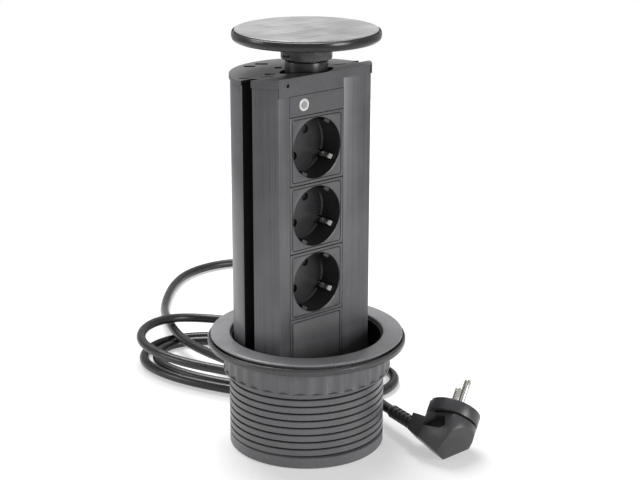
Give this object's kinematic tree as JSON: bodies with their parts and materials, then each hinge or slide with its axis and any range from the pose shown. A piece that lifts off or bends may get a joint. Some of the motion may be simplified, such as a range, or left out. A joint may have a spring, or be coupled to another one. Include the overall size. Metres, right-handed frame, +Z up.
{
  "type": "pop up desk socket",
  "caption": "Pop up desk socket: a black pull up tower with a column of earthed sockets, a sprung round cap, a threaded desk sleeve with flange and lock nut, and a mains cord with plug.",
  "frame": {"origin": "centre of the threaded sleeve's bottom edge", "axes": "+Z up along the tower, the sockets face -Y, +X to the right as seen from the front"},
  "size_m": [0.3014, 0.43, 0.281],
  "materials": {
    "black_metal": "satin",
    "brushed_cap": "brushed",
    "black_plastic": "matte",
    "face_plastic": "semi gloss",
    "white_lens": "gloss",
    "inner_plastic": "matte",
    "contact_brass": "satin",
    "nickel": "polished",
    "zinc_steel": "satin",
    "spring_steel": "satin",
    "cord_black": "satin",
    "plug_black": "matte",
    "wire_skin": "satin"
  },
  "bodies": {
    "base": {"guide_key_left": "black_plastic", "guide_key_right": "black_plastic", "mounting_flange": "black_metal", "threaded_sleeve": "black_plastic"},
    "clamp_washer": {"clamp_washer": "zinc_steel"},
    "lock_nut": {"lock_nut": "black_plastic"},
    "cap": {"cap_plate": "brushed_cap", "cap_shell": "black_plastic", "neck_collar": "black_plastic", "neck_plunger": "black_plastic"},
    "shutter_1": {"shutter_1": "inner_plastic"},
    "shutter_2": {"shutter_2": "inner_plastic"},
    "shutter_3": {"shutter_3": "inner_plastic"},
    "tower": {"blank_plate": "face_plastic", "bottom_end_cap": "black_plastic", "cap_spring": "spring_steel", "cord_clamp": "inner_plastic", "cord_coil": "cord_black", "cord_gland": "black_plastic", "cord_lead": "cord_black", "cord_tail": "cord_black", "earth_busbar": "contact_brass", "earth_clip_1": "nickel", "earth_clip_2": "nickel", "earth_clip_3": "nickel", "end_cap_screws": "zinc_steel", "indicator_lens": "white_lens", "indicator_module": "face_plastic", "inner_wires": "wire_skin", "live_busbar": "contact_brass", "neck_guide": "black_plastic", "neutral_busbar": "contact_brass", "pin_contacts_1": "contact_brass", "pin_contacts_2": "contact_brass", "pin_contacts_3": "contact_brass", "plug_body": "plug_black", "plug_earth_contacts": "nickel", "plug_face": "plug_black", "plug_pins": "nickel", "socket_body_1": "inner_plastic", "socket_body_2": "inner_plastic", "socket_body_3": "inner_plastic", "socket_face_1": "face_plastic", "socket_face_2": "face_plastic", "socket_face_3": "face_plastic", "strain_relief": "plug_black", "top_end_cap": "black_plastic", "tower_profile": "black_metal"}
  },
  "joints": [
    {"name": "tower_slide", "type": "slide", "parent": "base", "child": "tower", "axis": [0, 0, 1], "range_m": [-0.186, 0]},
    {"name": "cap_press", "type": "slide", "parent": "tower", "child": "cap", "axis": [0, 0, 1], "range_m": [-0.017, 0], "stiffness_N_per_m": 300, "springref_m": 0.02, "deforming": ["cap_spring"]},
    {"name": "washer_slide", "type": "slide", "parent": "base", "child": "clamp_washer", "axis": [0, 0, 1], "range_m": [-0.0301, 0]},
    {"name": "nut_spin", "type": "hinge", "parent": "clamp_washer", "child": "lock_nut", "pos_m": [0, 0, 0.06], "axis": [0, 0, 1], "range_deg": [-2160, 0]},
    {"name": "shutter_turn_1", "type": "hinge", "parent": "tower", "child": "shutter_1", "pos_m": [-0.0072, 0.0016, 0.1181], "axis": [0, -1, 0], "range_deg": [0, 45], "stiffness_Nm_per_rad": 0.002, "springref_deg": -28.65},
    {"name": "shutter_turn_2", "type": "hinge", "parent": "tower", "child": "shutter_2", "pos_m": [-0.0072, 0.0016, 0.1631], "axis": [0, -1, 0], "range_deg": [0, 45], "stiffness_Nm_per_rad": 0.002, "springref_deg": -28.65},
    {"name": "shutter_turn_3", "type": "hinge", "parent": "tower", "child": "shutter_3", "pos_m": [-0.0072, 0.0016, 0.2081], "axis": [0, -1, 0], "range_deg": [0, 45], "stiffness_Nm_per_rad": 0.002, "springref_deg": -28.65}
  ],
  "couplings": [
    {"joint": "washer_slide", "follows": "nut_spin", "m_per_rad": 0.00079577}
  ]
}
